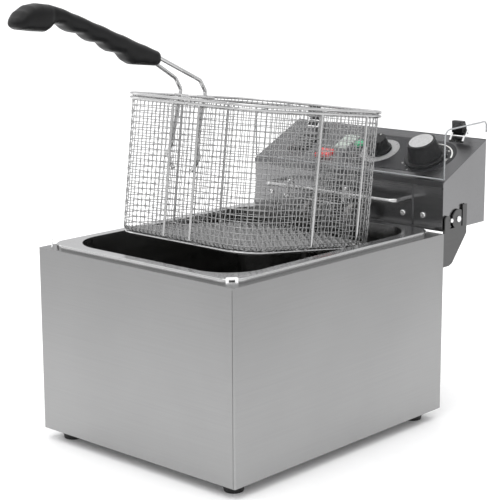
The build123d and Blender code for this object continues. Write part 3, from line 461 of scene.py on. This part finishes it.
def add_bead(bm, centre, radius, stretch):
    """A small weld bead, slightly lumpy."""
    made = bmesh.ops.create_uvsphere(bm, u_segments=8, v_segments=5, radius=radius)
    for vert in made["verts"]:
        lump = 1.0 + random.uniform(-0.10, 0.10)
        stretched = Vector([value * factor for value, factor in zip(vert.co, stretch)])
        vert.co = stretched * lump + centre


# ---- basket -----------------------------------------------------------------------------------

TILT = math.radians(-7.05)
BASKET_AT = Vector((0.0, 171.5 - MIDDLE_Y, 212.6))
HALF_X, HALF_Y, CORNER = 97.6, 108.1, 33.1
MESH_PITCH, WIRE_R = 6.0, 0.45
FLOOR_Z, MESH_TOP = 4.4, 148.6
FRONT_STAYS, SIDE_STAYS = (-15.5, 21.5), (-11, 64)
RIM_WELD_Z, RING_WELD_Z, FLOOR_WELD_Z = 141.8, 5.6, 2.0


def from_basket(x, y, z):
    """A place in the basket's own level frame, in mm, turned into the assembly's frame, in metres."""
    turned = Vector((x, y * math.cos(TILT) - z * math.sin(TILT), y * math.sin(TILT) + z * math.cos(TILT)))
    return (turned + BASKET_AT) * MM


def outline(distance):
    """A point on the wall's outline and its outward normal, by distance round it from the front's middle."""
    flat_x, flat_y = HALF_X - CORNER, HALF_Y - CORNER
    arc = math.pi / 2 * CORNER
    runs = [
        ("line", flat_x, (0, -HALF_Y), (1, 0)),
        ("arc", arc, (flat_x, -flat_y), -90),
        ("line", 2 * flat_y, (HALF_X, -flat_y), (0, 1)),
        ("arc", arc, (flat_x, flat_y), 0),
        ("line", 2 * flat_x, (flat_x, HALF_Y), (-1, 0)),
        ("arc", arc, (-flat_x, flat_y), 90),
        ("line", 2 * flat_y, (-HALF_X, flat_y), (0, -1)),
        ("arc", arc, (-flat_x, -flat_y), 180),
        ("line", flat_x, (-flat_x, -HALF_Y), (1, 0)),
    ]
    for kind, length, start, turn in runs:
        if distance <= length + 1e-9:
            if kind == "line":
                point = (start[0] + turn[0] * distance, start[1] + turn[1] * distance)
                return point, (turn[1], -turn[0])
            angle = math.radians(turn) + distance / CORNER
            normal = (math.cos(angle), math.sin(angle))
            return (start[0] + normal[0] * CORNER, start[1] + normal[1] * CORNER), normal
        distance -= length
    return (0, -HALF_Y), (0, -1)


def reach(value, half_a, half_b):
    """How far the rounded rectangle reaches across, at a place along its other axis."""
    past = abs(value) - (half_a - CORNER)
    if past <= 0:
        return half_b
    return half_b - CORNER + math.sqrt(max(0.0, CORNER**2 - past**2))


def woven_basket():
    """Crimped wires woven round the walls and across the floor."""
    bm = bmesh.new()
    around = 2 * math.pi * CORNER + 4 * (HALF_X - CORNER) + 4 * (HALF_Y - CORNER)
    uprights = 128
    rows = int((MESH_TOP - FLOOR_Z - 4) / MESH_PITCH)
    levels = [FLOOR_Z + 4 + row * (MESH_TOP - FLOOR_Z - 5) / rows for row in range(rows + 1)]
    crimp = WIRE_R * 0.95
    for i in range(uprights):
        (x, y), (nx, ny) = outline(around * i / uprights)
        path = [from_basket(x - nx * 2.2, y - ny * 2.2, FLOOR_Z), from_basket(x, y, FLOOR_Z + 1.6)]
        for j, z in enumerate(levels):
            out = crimp if (i + j) % 2 else -crimp
            path.append(from_basket(x + nx * out, y + ny * out, z))
        path.append(from_basket(x, y, MESH_TOP))
        add_tube(bm, path, WIRE_R * MM, 5)
    for j, z in enumerate(levels):
        path = []
        for i in range(uprights):
            (x, y), (nx, ny) = outline(around * i / uprights)
            out = -crimp if (i + j) % 2 else crimp
            path.append(from_basket(x + nx * out, y + ny * out, z))
        add_tube(bm, path, WIRE_R * MM, 5, closed=True)
    columns = [MESH_PITCH * (k - 15.5) for k in range(32)]
    lines = [MESH_PITCH * (k - 17.5) for k in range(36)]
    for i, x in enumerate(columns):
        far = reach(x, HALF_X, HALF_Y) - 0.8
        inside = [(j, y) for j, y in enumerate(lines) if abs(y) < far - 1.0]
        path = [from_basket(x, -far, FLOOR_Z)]
        path += [from_basket(x, y, FLOOR_Z + (crimp if (i + j) % 2 else -crimp)) for j, y in inside]
        path.append(from_basket(x, far, FLOOR_Z))
        add_tube(bm, path, WIRE_R * MM, 5)
    for j, y in enumerate(lines):
        far = reach(y, HALF_Y, HALF_X) - 0.8
        inside = [(i, x) for i, x in enumerate(columns) if abs(x) < far - 1.0]
        path = [from_basket(-far, y, FLOOR_Z)]
        path += [from_basket(x, y, FLOOR_Z + (-crimp if (i + j) % 2 else crimp)) for i, x in inside]
        path.append(from_basket(far, y, FLOOR_Z))
        add_tube(bm, path, WIRE_R * MM, 5)
    piece = finish_piece("woven_mesh", bm, "mesh", "basket")
    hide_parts("basket_mesh")


def basket_welds():
    """Weld beads where the stays meet the rim and the base ring, and the rims' butt joints."""
    bm = bmesh.new()
    spots = []
    for x in FRONT_STAYS:
        spots += [(x, -110.8, RIM_WELD_Z), (x, -108.6, RING_WELD_Z)]
    for side in (-1, 1):
        for y in SIDE_STAYS:
            spots += [(side * 100.3, y, RIM_WELD_Z), (side * 98.4, y, RING_WELD_Z)]
    for x, y, z in spots:
        add_bead(bm, from_basket(x, y, z), 1.9 * MM, (1.0, 1.0, 0.8))
    for x, y, z in [(4, -111.6, 143.8), (60, -111.0, 148.0), (68, -110.6, 143.8)]:
        add_bead(bm, from_basket(x, y, z), 2.0 * MM, (1.5, 0.8, 0.8))
    for x in FRONT_STAYS:
        add_bead(bm, from_basket(x, -103.6, FLOOR_WELD_Z), 1.7 * MM, (0.9, 1.3, 0.8))
    for y in (-62, *SIDE_STAYS):
        for side in (-1, 1):
            add_bead(bm, from_basket(side * 93.3, y, FLOOR_WELD_Z), 1.6 * MM, (1.3, 0.9, 0.8))
    finish_piece("basket_weld_beads", bm, "wire", "basket")


# ---- grip -------------------------------------------------------------------------------------

# the upper and lower outline as (y, z) in the basket's own level frame, from the nose to the tail
GRIP_TOP = [
    (-154.6, 187.5), (-156.0, 191.5), (-160.0, 194.2), (-180.0, 199.2), (-210.0, 206.8),
    (-240.0, 214.3), (-270.0, 221.6), (-288.0, 225.8), (-300.0, 227.6), (-312.0, 227.6),
    (-322.0, 225.2), (-330.0, 219.6), (-336.0, 212.6), (-338.4, 208.5),
]
GRIP_LOW = [
    (-154.6, 183.5), (-156.5, 180.4), (-160.0, 179.0), (-190.0, 178.6), (-197.0, 181.2),
    (-206.0, 188.4), (-219.0, 189.4), (-224.0, 191.2), (-232.0, 196.6), (-244.0, 197.2),
    (-249.0, 198.8), (-257.0, 203.6), (-270.0, 204.2), (-275.0, 205.6), (-283.0, 210.0),
    (-294.5, 210.4), (-300.0, 204.6), (-304.5, 202.2), (-318.0, 201.8), (-332.0, 202.0),
    (-337.0, 203.8), (-338.4, 206.4),
]
GRIP_SIDES, GRIP_CROWN = 2 / 3.0, 2 / 2.5
FINGERS_FAR, FINGERS_NEAR, UNDERSIDE = -292, -176, 0.2


def along_curve(points, y):
    """The height on a curve of (y, z) points at y."""
    for (y0, z0), (y1, z1) in zip(points, points[1:]):
        if y1 <= y <= y0:
            t = (y0 - y) / (y0 - y1)
            t = t * t * (3 - 2 * t) * 0.35 + t * 0.65
            return z0 + (z1 - z0) * t
    return points[-1][1]


def grip_width(y):
    """Half the grip's width at y: a rounded nose, a waist at the guard, and a fuller hooked end."""
    nose = min(1.0, max(0.0, (-154.2 - y) / 9.0))
    tail = min(1.0, max(0.0, (y + 339.0) / 11.0))
    ends = math.sqrt(1 - (1 - nose) ** 2) * math.sqrt(1 - (1 - tail) ** 2)
    fuller = 0.9 * math.exp(-(((y + 318.0) / 13.0) ** 2))
    waist = -0.8 * math.exp(-(((y + 297.5) / 3.0) ** 2))
    swell = 0.5 * math.sin(math.radians((y + 190.0) * 11.6))
    return (12.6 + fuller + waist + 0.35 * swell) * ends


def moulded_grip():
    """The grip as a loft of rounded sections with finger scallops on its underside."""
    bm = bmesh.new()
    stations = [-154.6 - 0.6 * k for k in range(10)] + [-161.0 - 2.0 * k for k in range(64)]
    stations += [-289.0 - 1.0 * k for k in range(40)] + [-329.0 - 0.8 * k for k in range(12)]
    around = 40
    rings = []
    for y in stations:
        top, low = along_curve(GRIP_TOP, y), along_curve(GRIP_LOW, y)
        half_h, middle, half_w = (top - low) / 2, (top + low) / 2, max(0.4, grip_width(y))
        ring = []
        for k in range(around):
            angle = 2 * math.pi * k / around
            c, s = math.cos(angle), math.sin(angle)
            px = math.copysign(abs(c) ** GRIP_SIDES, c) * half_w
            pz = math.copysign(abs(s) ** GRIP_CROWN, s) * half_h
            if s < -UNDERSIDE and FINGERS_FAR < y < FINGERS_NEAR:
                px *= 1.0 - 0.16 * (abs(s) - UNDERSIDE)
            ring.append(bm.verts.new(from_basket(px, y, middle + pz)))
        rings.append(ring)
    for a, b in zip(rings, rings[1:]):
        join_rings(bm, a, b)
    bm.faces.new(rings[0])
    bm.faces.new(rings[-1])
    piece = finish_piece("moulded_grip", bm, "grip", "basket_handle")
    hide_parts("handle_grip")


# ---- control panel markings -------------------------------------------------------------------

HEAD_FRONT, HEAD_FRONT_TOP = 340.5, 269.0
SLOPE = math.atan2(39.2, 81.5)
THERMOSTAT_AT, TIMER_AT = (88.5, 40.0), (21.0, 43.5)
PRINT_LOW, PRINT_HIGH, NUMBER_LIFT = 0.38, 0.50, 0.47
PLATE_INSET = 0.992


def on_panel(x, v, lift):
    """A place on the sloped panel: across, up the slope, and proud of it, in mm."""
    y = HEAD_FRONT + v * math.cos(SLOPE) - lift * math.sin(SLOPE)
    z = HEAD_FRONT_TOP + v * math.sin(SLOPE) + lift * math.cos(SLOPE)
    return Vector((x, y - MIDDLE_Y, z)) * MM


def cosine_and_sine(degrees):
    """Both, for an angle in degrees."""
    angle = math.radians(degrees)
    return math.cos(angle), math.sin(angle)


def add_plate(bm, outline_points, low, high):
    """A flat plate on the panel from its outline, with a slightly chamfered top."""
    cx = sum(p[0] for p in outline_points) / len(outline_points)
    cv = sum(p[1] for p in outline_points) / len(outline_points)
    inset = [(cx + (x - cx) * PLATE_INSET, cv + (v - cv) * PLATE_INSET) for x, v in outline_points]
    bottom = [bm.verts.new(on_panel(*p, low)) for p in outline_points]
    middle = [bm.verts.new(on_panel(*p, high - (high - low) * 0.3)) for p in outline_points]
    top = [bm.verts.new(on_panel(*p, high)) for p in inset]
    join_rings(bm, bottom, middle)
    join_rings(bm, middle, top)
    bm.faces.new(top)
    bm.faces.new(bottom)


def add_arc(bm, at, inner_r, outer_r, start, stop, low, high, taper=False, steps=36):
    """A printed arc; with taper its width grows along it."""
    inner, outer = [], []
    for k in range(steps + 1):
        t = k / steps
        reach_r = inner_r + (outer_r - inner_r) * (0.15 + 0.85 * t) if taper else outer_r
        c, s = cosine_and_sine(start + (stop - start) * t)
        inner.append((at[0] + inner_r * c, at[1] + inner_r * s))
        outer.append((at[0] + reach_r * c, at[1] + reach_r * s))
    grid = []
    for lift in (low, high):
        grid.append([[bm.verts.new(on_panel(*p, lift)) for p in edge] for edge in (inner, outer)])
    (in_low, out_low), (in_top, out_top) = grid
    for k in range(steps):
        bm.faces.new((in_top[k], in_top[k + 1], out_top[k + 1], out_top[k]))
        bm.faces.new((in_low[k], out_low[k], out_low[k + 1], in_low[k + 1]))
        bm.faces.new((in_low[k], in_low[k + 1], in_top[k + 1], in_top[k]))
        bm.faces.new((out_low[k], out_top[k], out_top[k + 1], out_low[k + 1]))
    for k in (0, steps):
        bm.faces.new((in_low[k], in_top[k], out_top[k], out_low[k]))


def add_tick(bm, at, degrees, inner_r, outer_r, half_w, low, high):
    """A short radial line beside a dial."""
    c, s = cosine_and_sine(degrees)
    across = (-s * half_w, c * half_w)
    places = ((inner_r, -1), (outer_r, -1), (outer_r, 1), (inner_r, 1))
    corners = [(at[0] + r * c + turn * across[0], at[1] + r * s + turn * across[1]) for r, turn in places]
    add_plate(bm, corners, low, high)


def dial_numbers(name, at, radius, size, marks, look):
    """Numbers round a dial, each standing radially, as one mesh."""
    merged = bmesh.new()
    for text, angle in marks:
        curve = bpy.data.curves.new("number", "FONT")
        curve.body = text
        curve.size = size * MM
        curve.align_x, curve.align_y = "CENTER", "CENTER"
        curve.extrude = 0.00004
        temp = bpy.data.objects.new("number", curve)
        bpy.context.scene.collection.objects.link(temp)
        bpy.context.view_layer.update()
        mesh = bpy.data.meshes.new_from_object(temp)
        c, s = cosine_and_sine(angle)
        origin = on_panel(at[0] + radius * c, at[1] + radius * s, NUMBER_LIFT)
        across = Vector((1, 0, 0))
        upward = Vector((0, math.cos(SLOPE), math.sin(SLOPE)))
        normal = across.cross(upward)
        spin = math.radians(angle - 90)
        tx = across * math.cos(spin) + upward * math.sin(spin)
        ty = upward * math.cos(spin) - across * math.sin(spin)
        place = Matrix.Translation(origin) @ Matrix((tx, ty, normal)).transposed().to_4x4()
        mesh.transform(place)
        merged.from_mesh(mesh)
        bpy.data.objects.remove(temp)
        bpy.data.curves.remove(curve)
        bpy.data.meshes.remove(mesh)
    finish_piece(name, merged, look, "control_head", smooth=False)


def add_pointer(name, body, at, inner_r, outer_r, lift):
    """The pale line on a knob, pointing up the panel and narrowing outwards."""
    bm = bmesh.new()
    near, far = at[1] + inner_r, at[1] + outer_r
    corners = [(at[0] - 0.6, near), (at[0] + 0.6, near), (at[0] + 0.5, far), (at[0] - 0.5, far)]
    add_plate(bm, corners, lift - 0.05, lift + 0.12)
    finish_piece(name, bm, "ink", body, smooth=False)


def panel_markings():
    """The timer's grey dial, the ticks, arc, numbers and pointers, and a blank pale patch."""
    bm = bmesh.new()
    add_arc(bm, TIMER_AT, 3.8, 23.6, 0, 359.99, 0.40, 0.62, steps=72)
    finish_piece("timer_dial", bm, "dial", "control_head", smooth=False)

    bm = bmesh.new()
    for k in range(25):
        inner_r, half_w = (20.4, 0.32) if k % 4 == 0 else (21.4, 0.2)
        add_tick(bm, TIMER_AT, 100 - k * 12.5, inner_r, 22.8, half_w, 0.60, 0.72)
    finish_piece("timer_ticks", bm, "ink_dark", "control_head", smooth=False)

    bm = bmesh.new()
    add_arc(bm, THERMOSTAT_AT, 29.4, 31.4, 152, 12, PRINT_LOW, PRINT_HIGH, taper=True, steps=60)
    for k in range(12):
        add_tick(bm, THERMOSTAT_AT, 230 - k * 22.5, 24.2, 25.3, 0.28, PRINT_LOW, PRINT_HIGH)
    finish_piece("thermostat_marks", bm, "ink", "control_head", smooth=False)

    bm = bmesh.new()
    add_plate(bm, [(-46, 40), (-26, 40), (-26, 68), (-46, 68)], 0.0, 0.25)
    finish_piece("pale_patch", bm, "patch", "control_head", smooth=False)

    add_pointer("thermostat_pointer", "thermostat_dial", THERMOSTAT_AT, 21.2, 23.2, 4.62)
    add_pointer("timer_pointer", "timer_dial", TIMER_AT, 8.4, 10.4, 17.02)

    heats = [("0", 250), ("60", 212), ("90", 170), ("120", 130), ("150", 88), ("180", 44), ("200", 4)]
    dial_numbers("thermostat_numbers", THERMOSTAT_AT, 27.0, 3.1, heats, "ink")


# ---- cover edges ------------------------------------------------------------------------------

COVER_FRONT_Y, COVER_FRONT_BEND, COVER_FRONT_BEND_Z = 342.1, 9.0, 317.2
COVER_BACK_Y, COVER_BACK_BEND, COVER_BACK_BEND_Z = 422.0, 5.0, 323.3
COVER_EDGE_X, COVER_EDGE_Z = 138.1, 271.6


def cover_path():
    """The bent cover's side profile: y and z along the middle of its sheet, in mm."""
    path = [(COVER_FRONT_Y, COVER_EDGE_Z), (COVER_FRONT_Y, 300.0)]
    for k in range(7):
        c, s = cosine_and_sine(180 - k * 14.6)
        y = COVER_FRONT_Y + COVER_FRONT_BEND * (1 + c)
        path.append((y, COVER_FRONT_BEND_Z + COVER_FRONT_BEND * s))
    for k in range(6):
        c, s = cosine_and_sine(92 - k * 18.4)
        y = COVER_BACK_Y - COVER_BACK_BEND * (1 - c)
        path.append((y, COVER_BACK_BEND_Z + COVER_BACK_BEND * s))
    return path + [(COVER_BACK_Y, 316.0)]


def cover_edges():
    """The cut edges of the clear cover, which catch the light."""
    bm = bmesh.new()
    for x in (-COVER_EDGE_X, COVER_EDGE_X):
        points = [Vector((x, y - MIDDLE_Y, z)) * MM for y, z in cover_path()]
        add_tube(bm, points, 0.85 * MM, 8)
    half_front = COVER_EDGE_X - 0.5
    low_z = COVER_EDGE_Z + 0.1
    front = [Vector((x, COVER_FRONT_Y - MIDDLE_Y, low_z)) * MM for x in (-half_front, 0.0, half_front)]
    add_tube(bm, front, 0.7 * MM, 8)
    finish_piece("cover_edges", bm, "edge", "cover")


make_camera()
make_world()
bpy.context.scene.view_settings.view_transform = "Standard"
area_light("key", (0.4, -1.6, 2.6), (0, 0, 0.2), 2.2, 14.0)
area_light("top", (-0.2, 0.5, 2.8), (0, 0.1, 0.2), 2.4, 10.0)
area_light("left", (-2.6, -0.9, 1.2), (0, 0, 0.2), 1.6, 8.0)

make_floor()
dress_cad()
woven_basket()
basket_welds()
moulded_grip()
panel_markings()
cover_edges()
